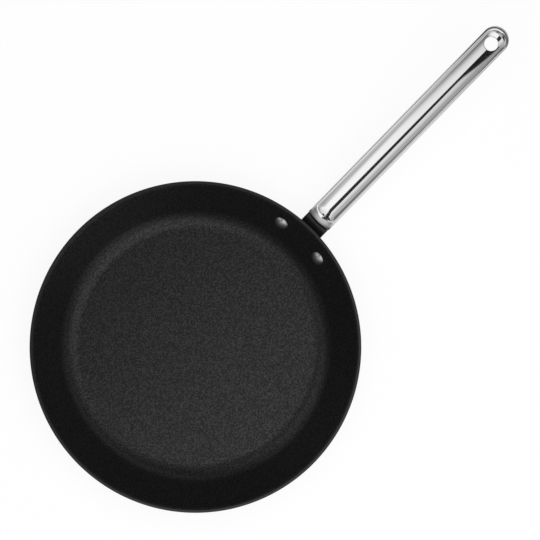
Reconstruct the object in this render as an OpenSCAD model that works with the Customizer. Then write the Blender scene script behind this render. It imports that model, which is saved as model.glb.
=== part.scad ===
// Frying pan: flared aluminium body with a black non-stick lining and a bonded steel base disc,
// and a hollow bright steel handle on a black cast bracket held by two rivets.
// Frame: the origin is the centre of the underside, +Z is up and +X runs along the handle.

/* [Pan body] */
// Outside diameter of the rim
rim_d = 290; // [240:1:330]
// Height of the rim above the table
pan_h = 42; // [40:0.5:60]
// Slope of the side wall above the horizontal, in degrees
wall_angle = 52; // [50:1:62]
// Thickness of the side wall, square to it
wall_t = 2; // [1.7:0.1:3.4]
// Height of the cooking surface of the body above the table
floor_h = 5.5; // [4.5:0.1:7]
// Inside radius between the floor and the wall
corner_r = 22.5; // [14:0.5:25]
// Outside radius between the base and the wall
base_r = 16; // [10:0.5:20]
// Bevel on the outer and inner edges of the rim
rim_bevel = 0.3; // [0.1:0.05:0.6]
// Thickness of the non-stick lining
lining_t = 0.3; // [0.2:0.05:0.6]

/* [Induction disc] */
// Width of the flat ring of the body round the steel disc
disc_margin = 10; // [6:0.5:24]
// Thickness of the steel disc
disc_t = 1; // [0.8:0.1:1.6]
// Height by which the disc stands below the body
disc_proud = 0.3; // [0.1:0.05:0.5]
// Bevel on the disc's lower edge
disc_bevel = 0.2; // [0.1:0.05:0.3]
// Diameter of the holes that the body's metal is pressed into
plug_d = 6; // [3:0.1:7]
// Depth of a plug's face inside its hole
plug_sunk = 0.1; // [0.05:0.05:0.2]
// Number of rings of holes
plug_rings = 4; // [2:1:4]
// Holes in the first ring, and holes that each further ring has more
plug_count = 6; // [4:1:7]
// Radius of the first ring of holes
plug_ring_r = 22; // [16:1:26]
// Distance from the disc's edge to the centres of the last ring of holes
plug_edge = 13; // [8:0.5:18]

/* [Rivets] */
// Distance between the two rivets
rivet_spacing = 45; // [38:0.5:52]
// Distance of the rivets below the rim, along the wall
rivet_drop = 19; // [15:0.5:21]
// Diameter of the shank
rivet_d = 6; // [4:0.1:7]
// Diameter of the domed head inside the pan
rivet_head_d = 13; // [10:0.1:14]
// Height of the domed head
rivet_head_h = 3.2; // [1.8:0.1:3.6]
// Diameter of the head formed outside, on the bracket
rivet_tail_d = 10; // [8:0.1:11]
// Height of the head formed outside
rivet_tail_h = 2; // [1.2:0.1:2.6]

/* [Bracket] */
// Thickness of the flange against the wall
flange_t = 3.2; // [2.4:0.1:4.5]
// Width of the flange beyond each rivet's axis
flange_side = 10.5; // [8.5:0.5:14]
// Height of the flange along the wall
flange_h = 22; // [18:0.5:24]
// Distance of the flange's middle below the rim, along the wall
flange_drop = 18.5; // [17:0.5:22]
// Radius of the flange's corners
flange_corner_r = 8; // [4:0.5:8.5]
// Width of the neck and of its collar
neck_w = 23.4; // [20:0.1:23.8]
// Length of the collar in front of the handle
collar_l = 2.9; // [2.5:0.1:5]
// Radius of the collar's upper edges
collar_r = 1.2; // [0.6:0.1:2]
// Depth of the hollow between the rim and the collar
neck_scoop = 6; // [3:0.5:6.5]
// Slope of the hollow's face under the collar, in degrees
scoop_angle = 55; // [45:1:65]
// Radius in the bottom of the hollow
scoop_r = 3; // [1:0.1:4]
// Width of the tongue inside the handle
tongue_w = 13; // [9:0.5:14]
// Length of the tongue inside the handle
tongue_l = 42; // [34:1:60]
// Gap between the tongue and the handle's walls
tongue_gap = 0.3; // [0.15:0.05:0.6]

/* [Handle] */
// Distance from the rim to the nose of the handle
handle_gap = 7.7; // [7:0.1:14]
// Depth of the handle's seam below the rim, at the nose
handle_drop = 7.5; // [6:0.5:12]
// Length of the handle along its bend
handle_l = 236; // [190:1:260]
// Slope of the handle at the nose, in degrees
handle_tilt = 20; // [15:1:24]
// Slope of the handle at the tip, in degrees
tip_tilt = 3; // [1:1:10]
// Width of the handle
handle_w = 24.6; // [24:0.1:27]
// Height of the handle's edges above the seam
crest_h = 5; // [4.4:0.1:6]
// Radius of the rolled edges
crest_r = 1.8; // [1.5:0.1:2.2]
// Depth of the groove below the edges
groove_d = 4; // [3:0.1:4.4]
// Depth of the belly below the seam, at the nose
belly_h = 6.7; // [6.2:0.1:9]
// Depth of the belly below the seam, at the tip
tip_belly_h = 5.6; // [4.8:0.1:7]
// Radius of the belly's corners
belly_r = 4.6; // [3.6:0.1:4.7]
// Thickness of the sheet steel
shell_t = 1.2; // [0.8:0.05:1.4]
// Length of the rounded nose in front of the groove
nose_l = 9; // [6:0.1:10.5]
// Height of the nose's lip above the seam
lip_h = 2.2; // [1.6:0.1:2.8]
// Height of the crest above the seam, at the middle of the nose
nose_h = 3.4; // [3:0.1:4.4]
// Radius of the nose seen from above
nose_r = 34; // [24:1:60]
// Length of the rounded tip
tip_l = 12; // [7:0.1:13]
// Diameter of the pin through the belly and the tongue
pin_d = 4; // [3:0.1:5]
// Distance of the pin from the nose
pin_from_nose = 24; // [16:1:28]

/* [Hanging hole] */
// Bore of the eyelet
eyelet_bore = 11.8; // [8:0.1:12.6]
// Wall of the eyelet
eyelet_t = 1; // [0.8:0.1:1.3]
// Distance of the hole's centre from the tip
eyelet_from_tip = 16.7; // [14:0.1:20]

/* [Hidden] */
$fn = 96;
// Overrun of every cut past the surface it leaves by
over = 1;
// Gap between the collar and the nose of the handle
joint_gap = 0.1;
// Length of the collar's horns past the curve of the nose
horn_l = 0.5;
// Depth of the pin's end below the belly
pin_sunk = 0.1;
// Metal of the tongue left above the pin
pin_cover = 0.8;
// Radii of the handle's corners and of the groove's corners at the nose
nose_corner_r = 1.5;
groove_corner_r = 4;
// Length of the belly's rounding at the nose, as a share of its height
nose_under_share = 0.3;
// Length of the groove's near end, as a share of the groove's half width
bowl_share = 0.85;
// Squareness of the corners at the nose, as the power of a superellipse
corner_power = 6;
// Counts of steps along a rounded corner, the nose, a side, the tip, a quarter turn,
// the groove's edge, the groove and the belly
arc_steps = 12;
nose_steps = 8;
side_steps = 12;
tip_steps = 8;
roll_steps = 5;
dip_steps = 2;
groove_steps = 6;
belly_steps = 3;

rim_r = rim_d / 2;
half_w = handle_w / 2;
// Inset of the collar below the surface of the handle
collar_inset = half_w - neck_w / 2;
collar_low = belly_h - collar_inset;

function unit(v) = v / norm(v);
function mix(a, b, t) = a + (b - a) * t;
function reversed(list) = [for (i = [len(list) - 1 : -1 : 0]) list[i]];

// Radius at height z of the wall's outer surface, moved in by depth square to the wall
function wall_x(z, depth = 0) = rim_r - (pan_h - rim_bevel - z) / tan(wall_angle) - depth / sin(wall_angle);

// The disc lies inside the flat underside, which ends where the wall's bend begins
disc_r = wall_x(disc_proud) - base_r * tan(wall_angle / 2) - disc_margin;

flange_w = rivet_spacing + 2 * flange_side;

// Where a rivet's axis meets the outer surface of the wall, in its own vertical plane
rivet_z = pan_h - rivet_drop * sin(wall_angle);
rivet_x = wall_x(rivet_z);
rivet_angle = asin(rivet_spacing / 2 / rivet_x);

// Nose of the handle, on its seam, and the arc that the handle follows from there
handle_x = rim_r + handle_gap;
handle_z = pan_h - handle_drop;
bend_r = handle_l / ((handle_tilt - tip_tilt) * PI / 180);
bend_centre = [handle_x + bend_r * sin(handle_tilt), 0, handle_z - bend_r * cos(handle_tilt)];
function tilt_at(s) = mix(handle_tilt, tip_tilt, s / handle_l);

// Point s along the handle's bend, y to its left and n above the seam
function on_handle(s, y, n) = let (a = tilt_at(s), r = bend_r + n)
    bend_centre + [-r * sin(a), y, r * cos(a)];

module at_handle(s) {
    translate(on_handle(s, 0, 0)) rotate([0, -tilt_at(s), 0]) children();
}

// Local z points into the pan, square to the wall, and local x up the wall
module at_wall(azimuth) {
    rotate([0, 0, azimuth]) translate([rivet_x, 0, rivet_z]) rotate([0, -wall_angle, 0]) children();
}

// Polygon with rounded corners. Each corner is [point, radius], and they run anticlockwise.
module round_polygon(corners) {
    count = len(corners);
    polygon([
        for (i = [0 : count - 1]) let (
            k = corners[i][0],
            r = corners[i][1],
            back = unit(corners[(i + count - 1) % count][0] - k),
            ahead = unit(corners[(i + 1) % count][0] - k),
            half = acos(back * ahead) / 2,
            centre = k + unit(back + ahead) * r / sin(half),
            start = back * r / tan(half) + k - centre,
            convex = ahead.x * back.y - ahead.y * back.x > 0,
            turn = (convex ? 1 : -1) * (180 - 2 * half)
        ) each r > 0
            ? [
                for (j = [0 : arc_steps]) let (a = atan2(start.y, start.x) + turn * j / arc_steps)
                    centre + r * [cos(a), sin(a)]
            ]
            : [k]
    ]);
}

// Solid cone that the wall's outer surface lies on, moved out by depth
module wall_cone(depth) {
    cylinder(h = pan_h, r1 = wall_x(0, -depth), r2 = wall_x(pan_h, -depth));
}

// Section of the space inside the body, shrunk by inset
module cavity_section(inset) {
    low = floor_h + inset;
    top = pan_h + over;
    round_polygon([
        [[0, low], 0],
        [[wall_x(low, wall_t + inset), low], corner_r - inset],
        [[wall_x(top, wall_t + inset), top], 0],
        [[0, top], 0]
    ]);
}

module rivet_holes() {
    for (side = [-1, 1]) at_wall(side * rivet_angle)
        translate([0, 0, -flange_t - over])
            cylinder(h = flange_t + wall_t + lining_t + 2 * over, d = rivet_d);
}

// Places of the disc's holes, in rings
module at_plugs() {
    for (ring = [0 : plug_rings - 1]) {
        r = mix(plug_ring_r, disc_r - plug_edge, ring / (plug_rings - 1));
        count = plug_count * (ring + 1);
        for (i = [0 : count - 1]) rotate([0, 0, 360 * i / count]) translate([r, 0, 0]) children();
    }
}

// Squeeze-cast body with its wall, its bevelled rim and the recess for the disc
module pan_body() {
    rim_in = wall_x(pan_h, wall_t);
    bevel = rim_bevel + over;
    color("#1b1b1c") difference() {
        union() {
            rotate_extrude() difference() {
                round_polygon([
                    [[0, disc_proud], 0],
                    [[wall_x(disc_proud), disc_proud], base_r],
                    [[rim_r, pan_h - rim_bevel], 0],
                    [[rim_r - rim_bevel, pan_h], 0],
                    [[0, pan_h], 0]
                ]);
                cavity_section(0);
                polygon([
                    [rim_in - over, pan_h + over],
                    [rim_in - over, pan_h - bevel],
                    [rim_in + bevel, pan_h + over]
                ]);
                translate([0, disc_t - disc_proud - over]) square([disc_r, disc_proud + over]);
            }
            at_plugs() translate([0, 0, plug_sunk])
                cylinder(h = disc_t - plug_sunk + over, d = plug_d);
        }
        rivet_holes();
    }
}

// Coating on the floor and the wall, up to the bevel of the rim
module nonstick_lining() {
    color("#2a2a2b") difference() {
        rotate_extrude() difference() {
            intersection() {
                cavity_section(0);
                square([rim_r, pan_h - rim_bevel - lining_t]);
            }
            cavity_section(lining_t);
        }
        rivet_holes();
    }
}

// Magnetic steel disc, perforated so that the body's metal keys into it
module induction_disc() {
    color("#9a9ca0") difference() {
        union() {
            cylinder(h = disc_bevel, r1 = disc_r - disc_bevel, r2 = disc_r);
            translate([0, 0, disc_bevel]) cylinder(h = disc_t - disc_bevel, r = disc_r);
        }
        at_plugs() translate([0, 0, -over]) cylinder(h = disc_t + 2 * over, d = plug_d);
    }
}

// Rivet with a domed head against the lining and a flat formed head against the flange
module rivet(side) {
    seat = wall_t + lining_t;
    head_r = rivet_head_d / 2;
    dome_r = (head_r * head_r + rivet_head_h * rivet_head_h) / (2 * rivet_head_h);
    rim_h = rivet_tail_h / 2;
    color("#8c8d90") {
        intersection() {
            at_wall(side * rivet_angle) translate([0, 0, seat]) intersection() {
                translate([0, 0, rivet_head_h - dome_r]) sphere(dome_r);
                cylinder(h = rivet_head_h + over, r = head_r);
            }
            rotate_extrude() cavity_section(lining_t);
        }
        difference() {
            at_wall(side * rivet_angle) translate([0, 0, -flange_t - rivet_tail_h]) {
                cylinder(h = rim_h, d1 = rivet_tail_d - rivet_tail_h, d2 = rivet_tail_d);
                translate([0, 0, rim_h]) cylinder(h = rim_h + flange_t / 2, d = rivet_tail_d);
            }
            wall_cone(flange_t);
        }
        at_wall(side * rivet_angle) translate([0, 0, -flange_t - rim_h])
            cylinder(h = rim_h + flange_t + seat + rivet_head_h / 2, d = rivet_d);
    }
}

module rivet_left() {
    rivet(1);
}

module rivet_right() {
    rivet(-1);
}

// Flange that fits the cone of the wall
module flange() {
    intersection() {
        difference() {
            wall_cone(flange_t);
            wall_cone(0);
        }
        at_wall(0) translate([rivet_drop - flange_drop, 0, -flange_t - over])
            linear_extrude(flange_t + flange_w / 2) round_polygon([
                for (corner = [[-1, -1], [1, -1], [1, 1], [-1, 1]])
                    [[corner.x * flange_h / 2, corner.y * flange_w / 2], flange_corner_r]
            ]);
    }
}

// Bar with the collar's section, from s = start to s = end on the straight line of the nose
module collar_bar(start, end) {
    at_handle(0) translate([start, 0, 0]) rotate([90, 0, 90]) linear_extrude(end - start)
        round_polygon([
            [[-neck_w / 2, -collar_low], belly_r - collar_inset],
            [[neck_w / 2, -collar_low], belly_r - collar_inset],
            [[neck_w / 2, lip_h], collar_r],
            [[-neck_w / 2, lip_h], collar_r]
        ]);
}

// Neck between the flange and the collar, hollowed from above behind the collar's ridge
module neck() {
    // Distance back from the nose to where the neck's underside meets the wall
    drop = handle_drop - rim_bevel + collar_low * cos(handle_tilt);
    back = (handle_gap + collar_low * sin(handle_tilt) + drop / tan(wall_angle))
        / (cos(handle_tilt) - sin(handle_tilt) / tan(wall_angle));
    ridge_x = handle_x - collar_l * cos(handle_tilt) - lip_h * sin(handle_tilt);
    ridge_z = handle_z - collar_l * sin(handle_tilt) + lip_h * cos(handle_tilt);
    scoop_x = ridge_x - neck_scoop / tan(scoop_angle);
    scoop_z = ridge_z - neck_scoop;
    difference() {
        collar_bar(-back - over, over - collar_l);
        wall_cone(0);
        rotate([90, 0, 0]) linear_extrude(neck_w + 2 * over, center = true) round_polygon([
            [[handle_x - back, scoop_z], 0],
            [[scoop_x, scoop_z], scoop_r],
            [[ridge_x, ridge_z], 0],
            [[ridge_x, pan_h], 0],
            [[handle_x - back, pan_h], 0]
        ]);
    }
}

// Collar whose front is hollowed to the curve of the nose
module collar() {
    difference() {
        collar_bar(-collar_l, nose_sag(neck_w / 2) + horn_l);
        at_handle(0) translate([nose_r, 0, -collar_low - over])
            cylinder(h = collar_low + lip_h + 2 * over, r = nose_r + joint_gap);
    }
}

// Black cast bracket: the flange, the neck, the collar and the tongue inside the handle
module handle_bracket() {
    color("#151516") difference() {
        union() {
            flange();
            neck();
            collar();
            bent_bar(-collar_l / 2, tongue_l, -tongue_low, tongue_top, tongue_w);
        }
        rivet_holes();
        pin_bar(-belly_h - over);
    }
}

// Distance of the nose's curve behind its middle, at y from the middle
function nose_sag(y) = nose_r - sqrt(nose_r * nose_r - y * y);

function belly_at(s) = mix(belly_h, tip_belly_h, s / handle_l);

// Centre of the rolled edge, from the middle and above the seam
crest_y = half_w - crest_r;
roll_n = crest_h - crest_r;
// The groove is an arc tangent to both rolled edges
groove_low = crest_h - groove_d;
groove_dip = roll_n - groove_low;
groove_r = (crest_y * crest_y + groove_dip * groove_dip - crest_r * crest_r)
    / (2 * (crest_r + groove_dip));
groove_n = groove_low + groove_r;
groove_angle = asin(crest_y / (groove_r + crest_r));
groove_y = crest_y - crest_r * sin(groove_angle);
nose_crest = nose_l - crest_r * sin(groove_angle);
// The rings of the handle close in on the middle of the hanging hole
tip_share = eyelet_from_tip / half_w;
tip_l_share = tip_l / half_w;

// The tongue lies between the sheet of the groove and the sheet of the belly
tongue_top = groove_low - shell_t - tongue_gap;
tongue_low = belly_at(tongue_l) - shell_t - tongue_gap;

function ring_corner(w) = w > groove_y
    ? mix(groove_corner_r, nose_corner_r, (w - groove_y) / (half_w - groove_y))
    : groove_corner_r * w / groove_y;

// One side of a ring round the handle, as points [s, y, n] from the nose to the tip.
// A ring is [half width, start, height, height at the nose].
function ring_side(ring) = let (
    w = ring[0],
    corner = ring_corner(w),
    near = ring[1] + nose_sag(w) + corner,
    end = handle_l - tip_share * (half_w - w),
    far = end - tip_l_share * w
) [
    for (i = [0 : nose_steps]) let (a = 90 * i / nose_steps, y = w * sin(a)) [
        ring[1] + nose_sag(y) + corner * (1 - sqrt(1 - pow(sin(a), corner_power))),
        y,
        mix(ring[2], ring[3], cos(a) * cos(a))
    ],
    for (i = [1 : side_steps]) [mix(near, far, i / side_steps), w, ring[2]],
    for (i = [1 : tip_steps]) let (a = 90 * i / tip_steps)
        [mix(far, end, sin(a)), w * cos(a), ring[2]]
];

// Depths below the seam follow the belly, which gets shallower towards the tip
function settled(p) = on_handle(p.x, p.y, p.z < 0 ? p.z * belly_at(p.x) / belly_h : p.z);

function ring_points(ring) = let (side = ring_side(ring), last = len(side) - 1) [
    for (i = [0 : last]) settled(side[i]),
    for (i = [last - 1 : -1 : 1]) settled([side[i].x, -side[i].y, side[i].z])
];

// Fall at the middle of the nose of a point at height n of the groove or of its edges
function nose_fall(n) = (crest_h - nose_h) * (n - groove_low) / groove_d;

// Rings of the upper half, from the seam to the middle of the groove, moved in by depth
function top_rings(depth) = let (
    r = crest_r - depth,
    edge_y = crest_y - r * sin(groove_angle),
    edge_s = nose_crest + r * sin(groove_angle)
) [
    [half_w - depth, depth, 0, 0],
    for (i = [0 : roll_steps]) let (a = 90 * i / roll_steps) [
        crest_y + r * cos(a),
        nose_crest - (nose_crest - depth) * cos(a),
        roll_n + r * sin(a),
        mix(lip_h - depth / 2, nose_h - depth, sin(a))
    ],
    for (i = [1 : dip_steps]) let (a = 90 + groove_angle * i / dip_steps, n = roll_n + r * sin(a))
        [crest_y + r * cos(a), nose_crest - r * cos(a), n, n - nose_fall(n + depth)],
    for (i = [1 : groove_steps]) let (
        a = groove_angle * (1 - i / (groove_steps + 1)),
        w = (groove_r + depth) * sin(a),
        n = groove_n - (groove_r + depth) * cos(a)
    ) [w, edge_s + bowl_share * (edge_y - w), n, n - nose_fall(n + depth)]
];

// Rings of the lower half, from the seam to the middle of the belly, moved in by depth
function bottom_rings(depth) = let (r = belly_r - depth) [
    [half_w - depth, depth, 0, 0],
    for (i = [0 : roll_steps]) let (a = 90 * i / roll_steps, n = belly_r - belly_h - r * sin(a))
        [half_w - belly_r + r * cos(a), depth + nose_under_share * r * (1 - cos(a)), n, n],
    for (i = [1 : belly_steps]) let (w = (half_w - belly_r) * (1 - i / (belly_steps + 1)))
        [w, depth + nose_under_share * (half_w - depth - w), depth - belly_h, depth - belly_h]
];

// Skin over a stack of rings, closed across the first and the last
module loft(rings) {
    count = len(ring_side(rings[0])) * 2 - 2;
    half = count / 2;
    top = (len(rings) - 1) * count;
    polyhedron(
        points = [for (ring = rings) each ring_points(ring)],
        faces = [
            for (k = [0 : len(rings) - 2], i = [0 : count - 1]) let (
                a = k * count + i,
                b = k * count + (i + 1) % count
            ) each [[a, b, b + count], [a, b + count, a + count]],
            [0, count - 1, 1],
            for (i = [1 : half - 2])
                each [[i, count - i, i + 1], [i + 1, count - i, count - i - 1]],
            [half - 1, half + 1, half],
            [top, top + 1, top + count - 1],
            for (i = [1 : half - 2]) each [
                [top + i, top + i + 1, top + count - i],
                [top + i + 1, top + count - i - 1, top + count - i]
            ],
            [top + half - 1, top + half, top + half + 1]
        ]
    );
}

// Bar that follows the bend, from s = start to s = end and from n = low to n = high
module bent_bar(start, end, low, high, width) {
    translate(bend_centre) rotate([90, 0, 0])
        rotate_extrude(angle = tilt_at(start) - tilt_at(end), start = 90 + tilt_at(end))
            translate([bend_r + low, -width / 2]) square([high - low, width]);
}

// Bar of the pin, from n = low up into the tongue
module pin_bar(low) {
    at_handle(pin_from_nose) translate([0, 0, low])
        cylinder(h = tongue_top - pin_cover - low, d = pin_d);
}

// Bar through the whole handle at the hanging hole
module eyelet_bar(r) {
    at_handle(handle_l - eyelet_from_tip) translate([0, 0, -belly_h - over])
        cylinder(h = belly_h + crest_h + 2 * over, r = r);
}

eyelet_r = eyelet_bore / 2 + eyelet_t;

// Upper pressing of the handle, with the groove between its rolled edges
module handle_top_shell() {
    color("#d9dadc") difference() {
        loft(concat(reversed(top_rings(0)), top_rings(shell_t)));
        eyelet_bar(eyelet_r);
    }
}

// Lower pressing of the handle, open at the nose for the tongue
module handle_bottom_shell() {
    color("#cfd0d3") difference() {
        loft(concat(reversed(bottom_rings(shell_t)), bottom_rings(0)));
        eyelet_bar(eyelet_r);
        pin_bar(-belly_h - over);
        bent_bar(-over, nose_l, -tongue_low - tongue_gap, over, tongue_w + 2 * tongue_gap);
    }
}

// Pin pressed through the belly into the tongue
module handle_pin() {
    color("#b9babd") pin_bar(pin_sunk - belly_at(pin_from_nose));
}

// Tube that lines the hanging hole, flush with the groove and the belly
module hanging_eyelet() {
    lower = bottom_rings(0);
    color("#e2e3e5") intersection() {
        loft(concat(reversed(top_rings(0)), [for (i = [1 : len(lower) - 1]) lower[i]]));
        difference() {
            eyelet_bar(eyelet_r);
            eyelet_bar(eyelet_bore / 2);
        }
    }
}

pan_body();
nonstick_lining();
induction_disc();
handle_bracket();
rivet_left();
rivet_right();
handle_top_shell();
handle_bottom_shell();
handle_pin();
hanging_eyelet();
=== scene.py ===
# Frying pan: black coated body, riveted black bracket and a hollow polished steel handle.
# The scene is in metres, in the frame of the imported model: +Z up, +X along the handle, underside
# at zero. The sizes of the pieces are written in millimetres and degrees, the rest in metres.

import math

import bmesh
import bpy
from mathutils import Matrix, Vector


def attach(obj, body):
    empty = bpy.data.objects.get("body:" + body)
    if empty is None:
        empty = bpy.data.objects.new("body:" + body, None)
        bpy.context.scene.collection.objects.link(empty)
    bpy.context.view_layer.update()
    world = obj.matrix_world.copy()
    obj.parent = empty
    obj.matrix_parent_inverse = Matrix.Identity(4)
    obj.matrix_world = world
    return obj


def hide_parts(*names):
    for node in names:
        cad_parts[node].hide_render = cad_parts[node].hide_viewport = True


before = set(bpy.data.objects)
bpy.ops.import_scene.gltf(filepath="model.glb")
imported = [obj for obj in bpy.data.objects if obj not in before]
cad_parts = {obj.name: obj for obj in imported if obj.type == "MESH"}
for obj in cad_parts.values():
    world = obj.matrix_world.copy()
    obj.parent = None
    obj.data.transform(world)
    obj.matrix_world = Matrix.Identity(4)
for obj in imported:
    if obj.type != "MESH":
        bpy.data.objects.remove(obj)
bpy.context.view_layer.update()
print("stage: frame loaded")

mm = 0.001
quarter = 90.0
onAxis = 1e-6  # a radius below this is a point on the axis
plainWhite = (1, 1, 1, 1)


# Shader maths

# One output of a node. Sums and products of values add Math nodes.
class Wire:
    def __init__(self, finish, socket):
        self.finish = finish
        self.socket = socket

    def maths(self, operation, first, second):
        return self.finish.node("ShaderNodeMath", {"operation": operation}, {0: first, 1: second})

    def __add__(self, other):
        return self.maths("ADD", self, other)

    def __radd__(self, other):
        return self.maths("ADD", other, self)

    def __sub__(self, other):
        return self.maths("SUBTRACT", self, other)

    def __rsub__(self, other):
        return self.maths("SUBTRACT", other, self)

    def __mul__(self, other):
        return self.maths("MULTIPLY", self, other)

    def __rmul__(self, other):
        return self.maths("MULTIPLY", other, self)


# A node tree being written, of a material or of the world
class Finish:
    def __init__(self, tree):
        self.tree = tree
        self.tree.nodes.clear()

    # Settings come first, then values or wires for the sockets, by name or number
    def node(self, kind, settings=None, values=None, out=0):
        made = self.tree.nodes.new(kind)
        for key, setting in (settings or {}).items():
            setattr(made, key, setting)
        for key, value in (values or {}).items():
            if isinstance(value, Wire):
                self.tree.links.new(value.socket, made.inputs[key])
            else:
                made.inputs[key].default_value = value
        return Wire(self, made.outputs[out]) if len(made.outputs) else None

    # From one value to another, softly, as a value passes from one limit to the other
    def spread(self, value, limits, to=(0.0, 1.0)):
        settings = {"interpolation_type": "SMOOTHSTEP"}
        return self.node("ShaderNodeMapRange", settings,
                         {0: value, 1: limits[0], 2: limits[1], 3: to[0], 4: to[1]})

    # One between two limits and zero beyond them, with a softness at each
    def window(self, values, limits, soft):
        rise, fall = (self.spread(value, (limit - width / 2, limit + width / 2))
                      for value, limit, width in zip(values, limits, soft))
        return rise * (1 - fall)

    # A mix has its colours on inputs 6 and 7 and on output 2
    def mixColour(self, factor, first, second):
        return self.node("ShaderNodeMix", {"data_type": "RGBA"}, {0: factor, 6: first, 7: second}, 2)

    # Object space in metres, stretched by a scale along each axis
    def place(self, stretch=(1, 1, 1)):
        here = self.node("ShaderNodeTexCoord", {}, {}, "Object")
        return self.node("ShaderNodeMapping", {}, {"Vector": here, "Scale": stretch})

    def noise(self, scale, detail, rough, stretch=(1, 1, 1)):
        values = {"Vector": self.place(stretch), "Scale": scale, "Detail": detail, "Roughness": rough}
        return self.node("ShaderNodeTexNoise", {}, values)

    def bump(self, height, distance):
        return self.node("ShaderNodeBump", {}, {"Strength": 1.0, "Distance": distance, "Height": height})

    # The x, y and z of a place
    def axes(self, place):
        apart = self.node("ShaderNodeSeparateXYZ", {}, {"Vector": place})
        return [Wire(self, socket) for socket in apart.socket.node.outputs]

    # One for rays of a kind, such as those from the camera
    def ray(self, kind):
        return self.node("ShaderNodeLightPath", {}, {}, "Is " + kind + " Ray")

    def larger(self, first, second):
        return self.node("ShaderNodeMath", {"operation": "MAXIMUM"}, {0: first, 1: second})


# Two wires in shares that add up to one
def blend(first, second, share):
    return first * share + second * (1 - share)


# A noise moved to zero and stretched
def sway(noise, spread):
    return spread * (noise - 0.5)


def newFinish(name):
    material = bpy.data.materials.new(name)
    material.use_nodes = True
    return material, Finish(material.node_tree)


def surface(finish, values):
    shader = finish.node("ShaderNodeBsdfPrincipled", {}, values)
    finish.node("ShaderNodeOutputMaterial", {}, {"Surface": shader})


# Grey, with its blue raised by a tint
def grey(value, tint=0.0):
    return (value, value, value * (1 + tint), 1)


# Meshes

def newObject(name, data):
    made = bpy.data.objects.new(name, data)
    bpy.context.collection.objects.link(made)
    return made


def makePiece(name, points, faces, finish, crease=32):
    mesh = bpy.data.meshes.new(name)
    mesh.from_pydata(points, [], faces)
    build = bmesh.new()
    build.from_mesh(mesh)
    bmesh.ops.recalc_face_normals(build, faces=build.faces)
    build.to_mesh(mesh)
    build.free()
    piece = newObject(name, mesh)
    dress(piece, finish, crease)
    return piece


def dress(piece, finish, crease=32):
    piece.data.materials.clear()
    piece.data.materials.append(finish)
    piece.data.shade_smooth()
    piece.data.set_sharp_from_angle(angle=math.radians(crease))


# Floor or ceiling of the studio
def makeBoard(name, points, faces, finish):
    mesh = bpy.data.meshes.new(name)
    mesh.from_pydata(points, [], faces)
    mesh.materials.append(finish)
    return newObject(name, mesh)


# Runs a piece's modifiers for good
def settle(piece):
    shown = piece.evaluated_get(bpy.context.evaluated_depsgraph_get())
    mesh = bpy.data.meshes.new_from_object(shown)
    piece.modifiers.clear()
    old = piece.data
    piece.data = mesh
    bpy.data.meshes.remove(old)


def cutAway(piece, cutters):
    for cutter in cutters:
        carving = piece.modifiers.new("carving", "BOOLEAN")
        carving.operation = "DIFFERENCE"
        carving.solver = "EXACT"
        carving.object = cutter
    settle(piece)
    for cutter in cutters:
        bpy.data.objects.remove(cutter)


def mix(low, high, share):
    return low + (high - low) * share


def sine(degrees):
    return math.sin(math.radians(degrees))


def cosine(degrees):
    return math.cos(math.radians(degrees))


# Step i of a count round a circle
def onCircle(r, i, count, z=0.0):
    a = 2 * math.pi * i / count
    return Vector((r * math.cos(a), r * math.sin(a), z))


# Outline with rounded corners, from corners of (x, y, radius)
def roundedOutline(corners, steps):
    outline = []
    for i, (x, y, r) in enumerate(corners):
        here = Vector((x, y))
        if r <= 0:
            outline.append((x, y))
            continue
        back = (Vector(corners[i - 1][:2]) - here).normalized()
        ahead = (Vector(corners[(i + 1) % len(corners)][:2]) - here).normalized()
        half = back.angle(ahead) / 2
        centre = here + (back + ahead).normalized() * (r / math.sin(half))
        start = here + back * (r / math.tan(half)) - centre
        inward = back.x * ahead.y - back.y * ahead.x
        turn = math.copysign(math.pi - 2 * half, -inward)
        for j in range(steps + 1):
            a = math.atan2(start.y, start.x) + turn * j / steps
            outline.append((centre.x + r * math.cos(a), centre.y + r * math.sin(a)))
    return outline


# Points and faces of a closed outline of (radius, height), in mm, turned about an axis
def turned(outline, steps, at=Matrix.Identity(4)):
    points, faces, rings = [], [], []
    for r, z in outline:
        count = 1 if r < onAxis else steps
        first = len(points)
        points += [at @ (onCircle(r, i, steps, z) * mm) for i in range(count)]
        rings.append([first + (i % count) for i in range(steps)])
    for k, low in enumerate(rings):
        high = rings[(k + 1) % len(rings)]
        for i in range(steps):
            j = (i + 1) % steps
            face = [low[i], low[j], high[j], high[i]]
            face = [p for n, p in enumerate(face) if p not in face[:n]]
            if len(face) > 2:
                faces.append(face)
    return points, faces


def joined(parts):
    points, faces = [], []
    for morePoints, moreFaces in parts:
        first = len(points)
        points += morePoints
        faces += [[first + p for p in face] for face in moreFaces]
    return points, faces


def standFor(piece, node):
    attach(piece, "root")
    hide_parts(node)


# Finishes of the pan. A noise is its scale, detail and roughness, and its stretch if it has one.

coatingLook = {
    "dark": 0.0036,
    "light": 0.0054,
    "rough": 0.40,
    "roughSpread": 0.08,
    "specular": 0.315,
    "cloud": (14.0, 3.0, 0.55),
    "grain": (760.0, 2.0, 0.6),
    "fineGrain": (1748.0, 1.0, 0.5),
    "grainHeight": 0.00006,
    "grainShare": 0.7,
    "speckShare": 0.65,
    "speckLimits": (0.45, 0.59),
    "coatShine": 0.9,
    "coatRough": 0.34,
}


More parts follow.
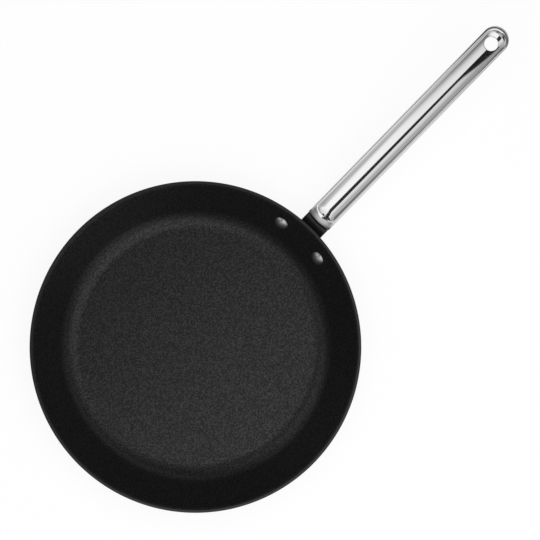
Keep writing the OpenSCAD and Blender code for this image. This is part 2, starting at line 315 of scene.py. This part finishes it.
def coatingFinish(look):
    material, f = newFinish("nonstickCoating")
    grain = f.noise(*look["grain"])
    fineGrain = f.noise(*look["fineGrain"])
    cloud = f.noise(*look["cloud"])
    speck = f.spread(blend(grain, fineGrain, look["speckShare"]), look["speckLimits"])
    surface(f, {
        "Base Color": f.mixColour(speck, grey(look["dark"]), grey(look["light"])),
        "Roughness": look["rough"] + sway(cloud, look["roughSpread"]),
        "Specular IOR Level": look["specular"],
        "Coat Weight": speck * look["coatShine"],
        "Coat Roughness": look["coatRough"],
        "Normal": f.bump(blend(grain, fineGrain, look["grainShare"]), look["grainHeight"]),
    })
    return material


outsideLook = {
    "colour": 0.0075,
    "shades": (0.8, 1.3),
    "rough": 0.34,
    "roughSpread": 0.12,
    "specular": 0.5,
    "cloud": (18.0, 4.0, 0.6),
    "grain": (420.0, 2.0, 0.5),
    "grainHeight": 0.00002,
}


# Black surface with a slight grain, for the body's outside and for the bracket
def blackFinish(name, look):
    material, f = newFinish(name)
    grain = f.noise(*look["grain"])
    cloud = f.noise(*look["cloud"])
    dark, light = (grey(look["colour"] * shade) for shade in look["shades"])
    surface(f, {
        "Base Color": f.mixColour(cloud, dark, light),
        "Roughness": look["rough"] + sway(cloud, look["roughSpread"]),
        "Specular IOR Level": look["specular"],
        "Normal": f.bump(grain, look["grainHeight"]),
    })
    return material


baseLook = {
    "dark": 0.36,
    "light": 0.55,
    "tint": 0.01,
    "rough": 0.30,
    "lines": (1400.0, 3.0, 0.7),
    "lineHeight": 0.00002,
    "lineShare": 0.7,
    "lineSpread": 0.12,
    "stain": (30.0, 4.0, 0.6),
    "stainSpread": 0.10,
}


# Spun steel: the lines run round the axis
def spunFinish(look):
    material, f = newFinish("spunSteel")
    flat = f.node("ShaderNodeVectorMath", {"operation": "MULTIPLY"}, {0: f.place(), 1: (1, 1, 0)})
    radius = f.node("ShaderNodeVectorMath", {"operation": "LENGTH"}, {0: flat}, "Value")
    scale, detail, rough = look["lines"]
    lines = f.node("ShaderNodeTexNoise", {"noise_dimensions": "1D"},
                   {"W": radius, "Scale": scale, "Detail": detail, "Roughness": rough})
    stain = f.noise(*look["stain"])
    dark, light = grey(look["dark"]), grey(look["light"], look["tint"])
    surface(f, {
        "Base Color": f.mixColour(blend(lines, stain, look["lineShare"]), dark, light),
        "Metallic": 1.0,
        "Roughness": look["rough"] + sway(lines, look["lineSpread"]) + sway(stain, look["stainSpread"]),
        "Normal": f.bump(lines, look["lineHeight"]),
    })
    return material


# Pan body and lining

pan = {
    "rimR": 145.0,
    "height": 42.0,
    "wallAngle": 52.0,
    "wallT": 2.0,
    "floorH": 5.5,
    "cornerR": 22.5,
    "baseR": 16.0,
    "rimBevel": 0.3,
    "rimRound": 0.35,
    "liningT": 0.3,
    "discMargin": 10.0,
    "discT": 1.0,
    "discProud": 0.3,
    "recessRound": 0.2,
    "plugD": 6.0,
    "plugSunk": 0.1,
    "plugRings": 4,
    "plugCount": 6,
    "plugRingR": 22.0,
    "plugEdge": 13.0,
    "plugClear": 0.02,  # inside the disc's hole
    "plugBevel": (0.15, 0.12),  # in from the hole and up
    "plugTop": 1.4,
    "plugSteps": 24,
    "cornerSteps": 14,
    "steps": 288,
}
lining = {
    "clear": 0.02,  # off the body's face
    "lipT": 0.06,
    "lipFall": 1.0,
    "lipR": 3.0,
    "cornerSteps": 24,
}


def wallR(z, depth=0.0):
    slope = math.tan(math.radians(pan["wallAngle"]))
    return pan["rimR"] - (pan["height"] - pan["rimBevel"] - z) / slope - depth / sine(pan["wallAngle"])


halfSlope = math.tan(math.radians(pan["wallAngle"] / 2))
discR = wallR(pan["discProud"]) - pan["baseR"] * halfSlope - pan["discMargin"]


# The body with the plugs of its metal that fill the disc's holes
def makeBody(finish):
    top, low = pan["height"], pan["discProud"]
    outline = roundedOutline([
        (0, pan["discT"], 0),
        (discR, pan["discT"], 0),
        (discR, low, pan["recessRound"]),
        (wallR(low), low, pan["baseR"]),
        (pan["rimR"] + pan["rimRound"] * (1 / halfSlope - 1), top, pan["rimRound"]),
        (wallR(top, pan["wallT"]), top, pan["rimRound"]),
        (wallR(pan["floorH"], pan["wallT"]), pan["floorH"], pan["cornerR"]),
        (0, pan["floorH"], 0),
    ], pan["cornerSteps"])
    parts = [turned(outline, pan["steps"])]
    holeR, face = pan["plugD"] / 2, pan["plugSunk"]
    side = holeR - pan["plugClear"]
    inward, up = pan["plugBevel"]
    plug = [(0, face), (holeR - inward, face), (side, face + up), (side, pan["plugTop"]), (0, pan["plugTop"])]
    for ring in range(pan["plugRings"]):
        r = mix(pan["plugRingR"], discR - pan["plugEdge"], ring / (pan["plugRings"] - 1))
        count = pan["plugCount"] * (ring + 1)
        for i in range(count):
            at = Matrix.Translation(onCircle(r, i, count) * mm)
            parts.append(turned(plug, pan["plugSteps"], at))
    standFor(makePiece("panBody", *joined(parts), finish), "pan_body")


def makeLining(finish):
    top = pan["height"] - pan["rimBevel"] - pan["liningT"]
    lip = top - lining["lipFall"]
    low = pan["floorH"] + pan["liningT"]
    depth = pan["wallT"] + pan["liningT"]
    back = pan["wallT"] + lining["clear"]
    under = pan["floorH"] + lining["clear"]
    outline = roundedOutline([
        (0, under, 0),
        (wallR(under, back), under, pan["cornerR"] - lining["clear"]),
        (wallR(top, back), top, 0),
        (wallR(top, pan["wallT"] + lining["lipT"]), top, 0),
        (wallR(lip, depth), lip, lining["lipR"]),
        (wallR(low, depth), low, pan["cornerR"] - pan["liningT"]),
        (0, low, 0),
    ], lining["cornerSteps"])
    piece = makePiece("nonstickLining", *turned(outline, pan["steps"]), finish)
    standFor(piece, "nonstick_lining")


coating = coatingFinish(coatingLook)
outside = blackFinish("blackEnamel", outsideLook)
makeBody(outside)
makeLining(coating)
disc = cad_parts["induction_disc"]
dress(disc, spunFinish(baseLook))
print("stage: body, lining and disc")


# Rivets

rivet = {
    "spacing": 45.0,
    "drop": 19.0,
    "headD": 13.0,
    "headH": 3.2,
    "shankD": 6.0,
    "tailD": 10.0,
    "tailH": 2.0,
    "flangeT": 3.2,
    "domeIn": 0.25,  # from the head's side to the end of its dome
    "domeSteps": 14,
    "edgeIn": 0.04,
    "edgeFall": 0.22,
    "edgeSink": 0.05,
    "headSink": 0.35,  # into the curved wall
    "tailSink": 0.4,  # into the flange
    "tailEdge": [(0.0, 1.1), (0.15, 0.7), (1.0, 0.1), (1.4, 0.0)],  # from the tail's side and end
    "steps": 72,
    "crease": 40,
}
rivetLook = {
    "colour": 0.52,
    "shades": (0.82, 1.15),
    "tint": 0.01,
    "rough": 0.34,
    "scratch": (900.0, 3.0, 0.6, (1, 0.25, 1)),
    "scratchHeight": 0.00003,
    "scratchSpread": 0.10,
    "dull": (320.0, 3.0, 0.6),
    "dullSpread": 0.22,
}


def rivetFinish(look):
    material, f = newFinish("rivetAluminium")
    scratch = f.noise(*look["scratch"])
    dull = f.noise(*look["dull"])
    dark, light = (look["colour"] * shade for shade in look["shades"])
    surface(f, {
        "Base Color": f.mixColour(dull, grey(dark), grey(light, look["tint"])),
        "Metallic": 1.0,
        "Roughness": look["rough"] + sway(dull, look["dullSpread"]) + sway(scratch, look["scratchSpread"]),
        "Normal": f.bump(scratch, look["scratchHeight"]),
    })
    return material


rivetZ = pan["height"] - rivet["drop"] * sine(pan["wallAngle"])
rivetX = wallR(rivetZ)
rivetTurn = math.asin(rivet["spacing"] / 2 / rivetX)


# Local z points into the pan, square to the wall, and local x up the wall
def atWall(turn):
    return (Matrix.Rotation(turn, 4, "Z") @ Matrix.Translation(Vector((rivetX, 0, rivetZ)) * mm)
            @ Matrix.Rotation(-math.radians(pan["wallAngle"]), 4, "Y"))


def makeRivet(name, node, side, finish):
    headR, shankR, tailR = (rivet[key] / 2 for key in ("headD", "shankD", "tailD"))
    seat = pan["wallT"] + pan["liningT"]
    back = -rivet["flangeT"]
    end = back - rivet["tailH"]
    domeR = (headR ** 2 + rivet["headH"] ** 2) / (2 * rivet["headH"])
    domeZ = seat + rivet["headH"] - domeR
    step = math.asin((headR - rivet["domeIn"]) / domeR) / rivet["domeSteps"]
    dome = [(domeR * math.sin(step * i), domeZ + domeR * math.cos(step * i))
            for i in range(rivet["domeSteps"] + 1)]
    edge = [(headR - rivet["edgeIn"], dome[-1][1] - rivet["edgeFall"]),
            (headR, seat - rivet["edgeSink"]), (headR, seat - rivet["headSink"])]
    shank = [(shankR, seat - rivet["headSink"]), (shankR, back + rivet["tailSink"])]
    tail = [(tailR, back + rivet["tailSink"])]
    tail += [(tailR - inward, end + short) for inward, short in rivet["tailEdge"]]
    outline = dome + edge + shank + tail + [(0, end)]
    at = atWall(side * rivetTurn)
    piece = makePiece(name, *turned(outline, rivet["steps"], at), finish, rivet["crease"])
    standFor(piece, node)


rivetMetal = rivetFinish(rivetLook)
makeRivet("rivetLeft", "rivet_left", 1, rivetMetal)
makeRivet("rivetRight", "rivet_right", -1, rivetMetal)
print("stage: rivets")


# Bracket

bracket = {
    "voxel": 0.45,
    "softness": 0.5,
    "softenings": 3,
    "crease": 60,
}
bracketLook = {
    "colour": 0.009,
    "shades": (0.8, 1.4),
    "rough": 0.30,
    "roughSpread": 0.12,
    "specular": 0.42,
    "cloud": (60.0, 3.0, 0.55),
    "grain": (700.0, 3.0, 0.6),
    "grainHeight": 0.00003,
}


# The casting's own shape with its edges softened
def makeBracket(finish):
    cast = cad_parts["handle_bracket"]
    piece = newObject("handleBracket", cast.data.copy())
    remesh = piece.modifiers.new("remesh", "REMESH")
    remesh.mode = "VOXEL"
    remesh.voxel_size = bracket["voxel"] * mm
    soften = piece.modifiers.new("soften", "SMOOTH")
    soften.factor = bracket["softness"]
    soften.iterations = bracket["softenings"]
    settle(piece)
    dress(piece, finish, bracket["crease"])
    standFor(piece, "handle_bracket")


makeBracket(blackFinish("castBlack", bracketLook))
print("stage: bracket")


# Handle

handle = {
    "gap": 7.7,
    "drop": 7.5,
    "length": 236.0,
    "tilt": 20.0,
    "tipTilt": 3.0,
    "width": 24.6,
    "crestH": 4.99,
    "crestR": 1.8,
    "grooveD": 3.99,
    "bellyH": 6.7,
    "tipBellyH": 5.6,
    "bellyR": 4.6,
    "sheetT": 1.2,
    "noseL": 9.0,
    "lipH": 2.2,
    "noseH": 3.4,
    "noseR": 34.0,
    "tipL": 12.0,
    "pinD": 4.0,
    "pinAt": 24.0,
    "holeD": 11.8,
    "holeSteps": 160,
    "eyeletT": 1.0,
    "holeFromTip": 16.7,
    "noseCornerR": 1.5,
    "grooveCornerR": 4.0,
    "noseUnderShare": 0.3,
    "bowlShare": 0.85,
    "cornerPower": 6,
    "seamRound": 0.12,
    "seamShare": 0.3,
}
# Steps of the rings round the handle, and the number of rings in each part of its section
fine = {"nose": 32, "side": 116, "tip": 36, "roll": 14, "dip": 7, "groove": 34, "belly": 5}
coarse = {"nose": 32, "side": 116, "tip": 36, "roll": 5, "dip": 2, "groove": 8, "belly": 3}

halfW = handle["width"] / 2
noseX = pan["rimR"] + handle["gap"]
noseZ = pan["height"] - handle["drop"]
bendR = handle["length"] / math.radians(handle["tilt"] - handle["tipTilt"])
bendX = noseX + bendR * sine(handle["tilt"])
bendZ = noseZ - bendR * cosine(handle["tilt"])
crestY = halfW - handle["crestR"]
rollN = handle["crestH"] - handle["crestR"]
grooveLow = handle["crestH"] - handle["grooveD"]
grooveDip = rollN - grooveLow
grooveR = (crestY ** 2 + grooveDip ** 2 - handle["crestR"] ** 2) / (2 * (handle["crestR"] + grooveDip))
grooveN = grooveLow + grooveR
grooveAngle = math.degrees(math.asin(crestY / (grooveR + handle["crestR"])))
grooveY = crestY - handle["crestR"] * sine(grooveAngle)
noseCrest = handle["noseL"] - handle["crestR"] * sine(grooveAngle)
tipShare = handle["holeFromTip"] / halfW
tipLShare = handle["tipL"] / halfW
holeS = handle["length"] - handle["holeFromTip"]
eyeletR = handle["holeD"] / 2 + handle["eyeletT"]


def tiltAt(s):
    return mix(handle["tilt"], handle["tipTilt"], s / handle["length"])


# Point s along the bend, y to the left and n above the seam
def onHandle(s, y, n):
    a, r = tiltAt(s), bendR + n
    return Vector((bendX - r * sine(a), y, bendZ + r * cosine(a))) * mm


def handleMatrix(s):
    return Matrix.Translation(onHandle(s, 0, 0)) @ Matrix.Rotation(-math.radians(tiltAt(s)), 4, "Y")


def bellyAt(s):
    return mix(handle["bellyH"], handle["tipBellyH"], s / handle["length"])


def noseSag(y):
    return handle["noseR"] - math.sqrt(handle["noseR"] ** 2 - y * y)


def ringCorner(w):
    if w <= grooveY:
        return handle["grooveCornerR"] * w / grooveY
    return mix(handle["grooveCornerR"], handle["noseCornerR"], (w - grooveY) / (halfW - grooveY))


# One side of a ring round the handle, from the nose to the tip.
# A ring is half width, start, height and height at the nose.
def ringSide(ring, steps):
    w, start, n, noseN = ring
    corner = ringCorner(w)
    near = start + noseSag(w) + corner
    end = handle["length"] - tipShare * (halfW - w)
    far = end - tipLShare * w
    side = []
    for i in range(steps["nose"] + 1):
        a = quarter * i / steps["nose"]
        y = w * sine(a)
        square = 1 - math.sqrt(max(0.0, 1 - sine(a) ** handle["cornerPower"]))
        side.append((start + noseSag(y) + corner * square, y, mix(n, noseN, cosine(a) ** 2)))
    for i in range(1, steps["side"] + 1):
        side.append((mix(near, far, i / steps["side"]), w, n))
    for i in range(1, steps["tip"] + 1):
        a = quarter * i / steps["tip"]
        side.append((mix(far, end, sine(a)), w * cosine(a), n))
    return side


# Point of a pressing. The belly gets shallower towards the tip.
def shellPoint(s, y, n):
    return onHandle(s, y, n * bellyAt(s) / handle["bellyH"] if n < 0 else n)


def ringPoints(ring, steps):
    side = ringSide(ring, steps)
    return [shellPoint(*p) for p in side] + [shellPoint(s, -y, n) for s, y, n in reversed(side[1:-1])]


# Fall at the middle of the nose of a point at height n of the groove or of its edges
def noseFall(n):
    return (handle["crestH"] - handle["noseH"]) * (n - grooveLow) / handle["grooveD"]


# Rings of the upper half, from the seam to the middle of the groove, moved in by depth
def topRings(depth, steps):
    r = handle["crestR"] - depth
    edgeY = crestY - r * sine(grooveAngle)
    edgeS = noseCrest + r * sine(grooveAngle)
    lipN, noseN = handle["lipH"] - depth / 2, handle["noseH"] - depth
    rings = []
    for i in range(steps["roll"] + 1):
        a = quarter * i / steps["roll"]
        start = noseCrest - (noseCrest - depth) * cosine(a)
        rings.append((crestY + r * cosine(a), start, rollN + r * sine(a), mix(lipN, noseN, sine(a))))
    for i in range(1, steps["dip"] + 1):
        a = quarter + grooveAngle * i / steps["dip"]
        n = rollN + r * sine(a)
        rings.append((crestY + r * cosine(a), noseCrest - r * cosine(a), n, n - noseFall(n + depth)))
    for i in range(1, steps["groove"] + 1):
        a = grooveAngle * (1 - i / (steps["groove"] + 1))
        w = (grooveR + depth) * sine(a)
        n = grooveN - (grooveR + depth) * cosine(a)
        rings.append((w, edgeS + handle["bowlShare"] * (edgeY - w), n, n - noseFall(n + depth)))
    return rings


# Rings of the lower half, from the seam to the middle of the belly, moved in by depth
def bottomRings(depth, steps):
    r = handle["bellyR"] - depth
    under = handle["noseUnderShare"]
    rings = []
    for i in range(steps["roll"] + 1):
        a = quarter * i / steps["roll"]
        n = handle["bellyR"] - handle["bellyH"] - r * sine(a)
        rings.append((halfW - handle["bellyR"] + r * cosine(a), depth + under * r * (1 - cosine(a)), n, n))
    for i in range(1, steps["belly"] + 1):
        w = (halfW - handle["bellyR"]) * (1 - i / (steps["belly"] + 1))
        n = depth - handle["bellyH"]
        rings.append((w, depth + under * (halfW - depth - w), n, n))
    return rings


# The seam's edge is rounded a little, so that a hairline shows where the pressings meet.
# Up is 1 for the upper pressing and -1 for the lower one.
def seamRings(up):
    r = handle["seamRound"]
    near = r * handle["seamShare"]
    return [(halfW - r, r, 0, 0), (halfW - near, near, up * near, up * near), (halfW, 0, up * r, up * r)]


# Outer and inner rings of a pressing, each from the seam
def pressingRings(up, ringsAt):
    sheet = handle["sheetT"]
    outer = seamRings(up) + ringsAt(0, fine)
    inner = [(halfW - sheet, sheet, 0, 0)] + ringsAt(sheet, coarse)
    return [(ring, fine) for ring in outer], [(ring, coarse) for ring in inner]


# Skin over a stack of rings, closed across the first and the last
def skin(stack):
    points, faces = [], []
    for ring, steps in stack:
        points += ringPoints(ring, steps)
    count = len(points) // len(stack)
    for k in range(len(stack) - 1):
        for i in range(count):
            a, b = k * count + i, k * count + (i + 1) % count
            faces.append([a, b, b + count, a + count])
    half = count // 2
    for first, turnOver in ((0, True), ((len(stack) - 1) * count, False)):
        last = first + count
        cap = [[first, first + 1, last - 1]]
        cap += [[first + i, first + i + 1, last - i - 1, last - i] for i in range(1, half - 1)]
        cap.append([first + half - 1, first + half, first + half + 1])
        faces += [face[::-1] for face in cap] if turnOver else cap
    return points, faces


# Heights are above the seam; below and above lie clear of the belly and of the edges
cut = {
    "below": -9.0,
    "above": 8.0,
    "eyeletPress": 0.02,  # the hole's radius is this much smaller than the eyelet's
    "pinTop": -2.0,
    "pinSteps": 48,
    "slotWidth": 13.6,
    "slotStart": -1.0,
    "slotHeights": (-5.32, 1.0),
}


# Turned by half a step, so that no corner falls on the handle's middle plane
def barCutter(r, s, low, high, steps):
    outline = [(0, low), (r, low), (r, high), (0, high)]
    at = handleMatrix(s) @ Matrix.Rotation(math.pi / steps, 4, "Z")
    return makePiece("cutter", *turned(outline, steps, at), None)


def holeCutter():
    return barCutter(eyeletR - cut["eyeletPress"], holeS, cut["below"], cut["above"], handle["holeSteps"])


def pinCutter():
    return barCutter(handle["pinD"] / 2, handle["pinAt"], cut["below"], cut["pinTop"], cut["pinSteps"])


# The opening in the lower pressing's nose, for the bracket's tongue
def slotCutter():
    y, (low, high) = cut["slotWidth"] / 2, cut["slotHeights"]
    corners = [onHandle(s, *corner) for s in (cut["slotStart"], handle["noseL"])
               for corner in ((-y, low), (y, low), (y, high), (-y, high))]
    faces = [[0, 1, 2, 3], [7, 6, 5, 4], [0, 4, 5, 1], [1, 5, 6, 2], [2, 6, 7, 3], [3, 7, 4, 0]]
    return makePiece("cutter", corners, faces, None)


def makeTopShell(finish):
    outer, inner = pressingRings(1, topRings)
    shell = makePiece("handleTopShell", *skin(outer[::-1] + inner), finish)
    cutAway(shell, [holeCutter()])
    dress(shell, finish)
    standFor(shell, "handle_top_shell")


def makeBottomShell(finish):
    outer, inner = pressingRings(-1, bottomRings)
    shell = makePiece("handleBottomShell", *skin(inner[::-1] + outer), finish)
    cutAway(shell, [holeCutter(), pinCutter(), slotCutter()])
    dress(shell, finish)
    standFor(shell, "handle_bottom_shell")


# Height of the groove over a point near the hole, where the rings close in on it.
# The ring through the point is found by halving.
def grooveAt(s, y, halvings=40):
    low, high = abs(y), halfW
    if s <= holeS + (tipShare - tipLShare) * low:
        high = low
    for _ in range(halvings):
        w = (low + high) / 2
        far = holeS + (tipShare - tipLShare) * w
        inside = s <= far or ((s - far) / (tipLShare * w)) ** 2 + (y / w) ** 2 < 1
        low, high = (low, w) if inside else (w, high)
    w = (low + high) / 2
    if w <= grooveY:
        return grooveN - math.sqrt(grooveR ** 2 - w * w)
    return rollN + math.sqrt(handle["crestR"] ** 2 - (crestY - w) ** 2)


eyelet = {
    "lip": 0.55,
    "lipSteps": 6,
    "crease": 40,
}


# Tube that lines the hanging hole, with rounded lips flush with the groove and the belly
def makeEyelet(finish):
    lip, count, around = eyelet["lip"], eyelet["lipSteps"], handle["holeSteps"]
    holeR = handle["holeD"] / 2
    middleR = mix(eyeletR, holeR + lip, 0.5)
    at = handleMatrix(holeS)
    points, faces = [], []
    for i in range(around):
        a = 2 * math.pi * i / around
        c, d = math.cos(a), math.sin(a)

        def over(r):
            return grooveAt(holeS + r * c, r * d) - (r * c) ** 2 / (2 * bendR)

        def under(r):
            return -bellyAt(holeS + r * c) - (r * c) ** 2 / (2 * bendR)

        loop = [(eyeletR, over(eyeletR)), (middleR, over(middleR))]
        for j in range(count + 1):
            b = quarter * j / count
            r = holeR + lip * (1 - sine(b))
            loop.append((r, over(r) - lip * (1 - cosine(b))))
        for j in range(count + 1):
            b = quarter * j / count
            r = holeR + lip * (1 - cosine(b))
            loop.append((r, under(r) + lip * (1 - sine(b))))
        loop.append((eyeletR, under(eyeletR)))
        points += [at @ (Vector((r * c, r * d, n)) * mm) for r, n in loop]
    size = len(points) // around
    for i in range(around):
        a, b = i * size, ((i + 1) % around) * size
        for j in range(size):
            k = (j + 1) % size
            faces.append([a + j, b + j, b + k, a + k])
    piece = makePiece("hangingEyelet", points, faces, finish, eyelet["crease"])
    standFor(piece, "hanging_eyelet")


pin = {
    "clear": 0.01,
    "sunk": 0.1,
    "bevel": 0.3,
    "bevelRound": 0.08,
    "top": -1.3,
    "steps": 48,
    "crease": 50,
}


def makePin(finish):
    r = handle["pinD"] / 2 - pin["clear"]
    low = pin["sunk"] - bellyAt(handle["pinAt"])
    bevel, edge, top = pin["bevel"], pin["bevelRound"], pin["top"]
    outline = [(0, low), (r - bevel, low), (r - edge, low + edge), (r, low + bevel), (r, top), (0, top)]
    at = handleMatrix(handle["pinAt"])
    piece = makePiece("handlePin", *turned(outline, pin["steps"], at), finish, pin["crease"])
    standFor(piece, "handle_pin")


steelLook = {
    "colour": 0.80,
    "shades": (0.97, 1.03),
    "tint": 0.006,
    "rough": 0.055,
    "lines": (2600.0, 2.0, 0.6, (0.03, 1, 1)),
    "lineHeight": 0.0000012,
    "lineSpread": 0.02,
    "smear": (45.0, 3.0, 0.6, (0.4, 1, 1)),
    "smearLimits": (0.45, 0.75),
    "smearRough": 0.05,
}
pinLook = dict(baseLook, rough=0.24)


# Polished steel, with faint lengthwise polishing lines and smears
def polishedFinish(look):
    material, f = newFinish("polishedSteel")
    lines = f.noise(*look["lines"])
    smear = f.noise(*look["smear"])
    dark, light = (look["colour"] * shade for shade in look["shades"])
    smeared = look["smearRough"] * f.spread(smear, look["smearLimits"])
    surface(f, {
        "Base Color": f.mixColour(smear, grey(dark), grey(light, look["tint"])),
        "Metallic": 1.0,
        "Roughness": look["rough"] + smeared + sway(lines, look["lineSpread"]),
        "Normal": f.bump(lines, look["lineHeight"]),
    })
    return material


polished = polishedFinish(steelLook)
makeTopShell(polished)
makeBottomShell(polished)
makeEyelet(polished)
makePin(spunFinish(pinLook))
print("stage: handle")


# Floor, light and camera

studio = {
    "floorColour": 0.93,
    "floorShade": 0.995,
    "floorCloud": (1.5, 2.0, 0.5),
    "floorGlow": 0.9,
    "floorR": 6.0,
    "floorZ": -0.0003,
    "floorSides": 96,
}


# Pale floor, which the camera, metal and glass see nearly white
def makeFloor():
    material, f = newFinish("paleFloor")
    clear = f.larger(f.larger(f.ray("Camera"), f.ray("Glossy")), f.ray("Transmission"))
    shade = grey(studio["floorColour"] * studio["floorShade"])
    colour = f.mixColour(f.noise(*studio["floorCloud"]), shade, grey(studio["floorColour"]))
    matt = f.node("ShaderNodeBsdfDiffuse", {}, {"Color": colour, "Roughness": 0.0})
    glow = f.node("ShaderNodeEmission", {}, {"Color": plainWhite, "Strength": 1.0})
    shown = f.node("ShaderNodeMixShader", {}, {0: clear * studio["floorGlow"], 1: matt, 2: glow})
    f.node("ShaderNodeOutputMaterial", {}, {"Surface": shown})
    count, z = studio["floorSides"], studio["floorZ"]
    points = [(0, 0, z)] + [onCircle(studio["floorR"], i, count, z) for i in range(count)]
    faces = [[0, 1 + i, 1 + (i + 1) % count] for i in range(count)]
    makeBoard("floor", points, faces, material)


# Lights above the pan, drawn on one ceiling. Each panel has its limits in x and y with the
# softness of each limit, and its level. A slant moves a limit in y along x. A panel covers those
# before it, and one with times dims them.
ceiling = {
    "height": 0.75,
    "half": 2.0,
    "base": 0.08,
    "panels": [
        # the room behind the pan
        {"x": (-2.2, -0.42), "xSoft": (0.1, 0.04), "y": (-2.2, 2.2), "ySoft": (0.1, 0.1), "level": 0.15},
        {"x": (-0.85, -0.42), "xSoft": (0.7, 0.04), "y": (-0.25, 0.36), "ySoft": (0.5, 0.3), "level": 0.62},
        {"x": (-0.75, -0.42), "xSoft": (0.1, 0.04), "y": (-2.2, -0.5), "ySoft": (0.1, 0.3), "level": 0.62},
        {"x": (-0.75, -0.42), "xSoft": (0.1, 0.04), "y": (0.6, 2.2), "ySoft": (0.3, 0.1), "level": 0.6},
        {"x": (-1.3, -0.6), "xSoft": (0.5, 0.1), "y": (0.38, 1.0), "ySoft": (0.06, 0.3), "level": 0.03},
        # the large softbox, and the part of it that fades
        {"x": (-0.47, 0.45), "xSoft": (0.04, 0.06), "y": (-2.2, 0.035), "ySoft": (0.1, 0.02),
         "slant": (0.0, 0.1), "level": 0.5},
        {"x": (-0.47, 0.45), "xSoft": (0.04, 0.06), "y": (-0.95, 0.035), "ySoft": (1.1, 0.02),
         "slant": (0.0, 0.1), "level": 1.15},
        # the second softbox, and the part of it that fades
        {"x": (-0.58, 0.37), "xSoft": (0.16, 0.03), "y": (0.288, 2.2), "ySoft": (0.04, 0.1),
         "slant": (-0.17, 0.0), "level": 0.5},
        {"x": (-0.58, 0.37), "xSoft": (0.16, 0.03), "y": (0.288, 0.7), "ySoft": (0.04, 0.8),
         "slant": (-0.17, 0.0), "level": 0.97},
        # the black gap between the two, which widens over the handle's end
        {"x": (-0.42, 0.34), "xSoft": (0.04, 0.04), "y": (0.035, 0.288), "ySoft": (0.02, 0.04),
         "slant": (0.1, -0.17), "level": 0.03},
        {"x": (0.19, 0.39), "xSoft": (0.04, 0.02), "y": (0.1, -1.21), "ySoft": (0.06, 0.2),
         "slant": (0.0, 7.0), "level": 0.02},
        # a dark line across the large softbox, and the room beyond the handle's end
        {"x": (0.33, 0.8), "xSoft": (0.03, 0.1), "y": (-0.12, 0.03), "ySoft": (0.04, 0.04), "level": 0.1},
        {"x": (0.95, 2.2), "xSoft": (0.6, 0.1), "y": (-2.2, 2.2), "ySoft": (0.1, 0.1), "level": 0.55},
        # both softboxes are dimmer at their far ends
        {"x": (0.1, 0.65), "xSoft": (0.9, 0.1), "y": (-2.2, 2.2), "ySoft": (0.1, 0.1), "times": 0.72},
        {"x": (0.15, 0.65), "xSoft": (0.5, 0.1), "y": (-2.2, -0.5), "ySoft": (0.1, 0.8), "times": 0.45},
    ],
}


def makeCeiling():
    material, f = newFinish("softboxes")
    x, y = f.axes(f.node("ShaderNodeTexCoord", {}, {}, "Object"))[:2]
    level = f.node("ShaderNodeValue")
    level.socket.default_value = ceiling["base"]
    for panel in ceiling["panels"]:
        across = [y - x * slant for slant in panel.get("slant", (0.0, 0.0))]
        mask = f.window((x, x), panel["x"], panel["xSoft"]) * f.window(across, panel["y"], panel["ySoft"])
        if "times" in panel:
            level = level * (1 - mask * (1 - panel["times"]))
        else:
            level = level * (1 - mask) + mask * panel["level"]
    glow = f.node("ShaderNodeEmission", {}, {"Color": plainWhite, "Strength": level})
    f.node("ShaderNodeOutputMaterial", {}, {"Surface": glow})
    half = ceiling["half"]
    corners = [(-half, -half, 0), (-half, half, 0), (half, half, 0), (half, -half, 0)]
    board = makeBoard("ceiling", corners, [[0, 1, 2, 3]], material)
    board.location = (0, 0, ceiling["height"])
    board.visible_camera = False
    board.visible_shadow = False


# Levels of the room below the lights, and the directions over which one turns into the next
surround = {
    "right": 0.6,
    "leftHigh": 0.42,
    "leftLow": 0.1,
    "near": 0.12,
    "beyond": 0.05,
    "leftRise": (0.08, 0.3),
    "leftBlend": (-0.15, 0.15),
    "beyondBlend": (0.1, 0.6),
    "nearBlend": (-0.7, -0.2),
}


# The studio round the pan, below the lights: bright on the handle's right, grey on its left
# and dark at both ends. The camera sees it white.
def makeSurround():
    sky = bpy.data.worlds.new("studio")
    sky.use_nodes = True
    bpy.context.scene.world = sky
    f = Finish(sky.node_tree)
    x, y, z = f.axes(f.node("ShaderNodeTexCoord", {}, {}, "Generated"))
    left = f.spread(z, surround["leftRise"], (surround["leftLow"], surround["leftHigh"]))
    level = surround["right"] + f.spread(y, surround["leftBlend"]) * (left - surround["right"])
    level = level + f.spread(x, surround["beyondBlend"]) * (surround["beyond"] - level)
    level = level + f.spread(x, surround["nearBlend"], (1.0, 0.0)) * (surround["near"] - level)
    seen = f.ray("Camera")
    glow = f.node("ShaderNodeBackground", {}, {"Color": plainWhite, "Strength": level * (1 - seen) + seen})
    f.node("ShaderNodeOutputWorld", {}, {"Surface": glow})


fill = {
    "level": 0.72,
    "size": 1.6,
    "at": (0.1, -0.2, 1.6),
}


# A broad soft lamp that brings the floor and matt surfaces to their own colour
def makeFill():
    data = bpy.data.lights.new("fill", "AREA")
    data.shape = "DISK"
    data.size = fill["size"]
    data.energy = fill["level"] * 4 * math.pi * fill["at"][2] ** 2
    lamp = newObject("fill", data)
    lamp.location = fill["at"]
    lamp.visible_camera = False
    lamp.visible_glossy = False


camera = {
    "at": (0.09365, 0.00035, 3.042),
    "turn": -45.7,
    "lens": 228.88,
    "sensor": 36.0,
}


# Straight above the pan, looking down
def makeCamera():
    data = bpy.data.cameras.new("camera")
    data.lens = camera["lens"]
    data.sensor_width = camera["sensor"]
    eye = newObject("camera", data)
    eye.location = camera["at"]
    eye.rotation_euler = (0, 0, math.radians(camera["turn"]))
    bpy.context.scene.camera = eye


makeFloor()
makeCeiling()
makeSurround()
makeFill()
makeCamera()
bpy.context.scene.view_settings.view_transform = "Standard"
print("stage: studio")
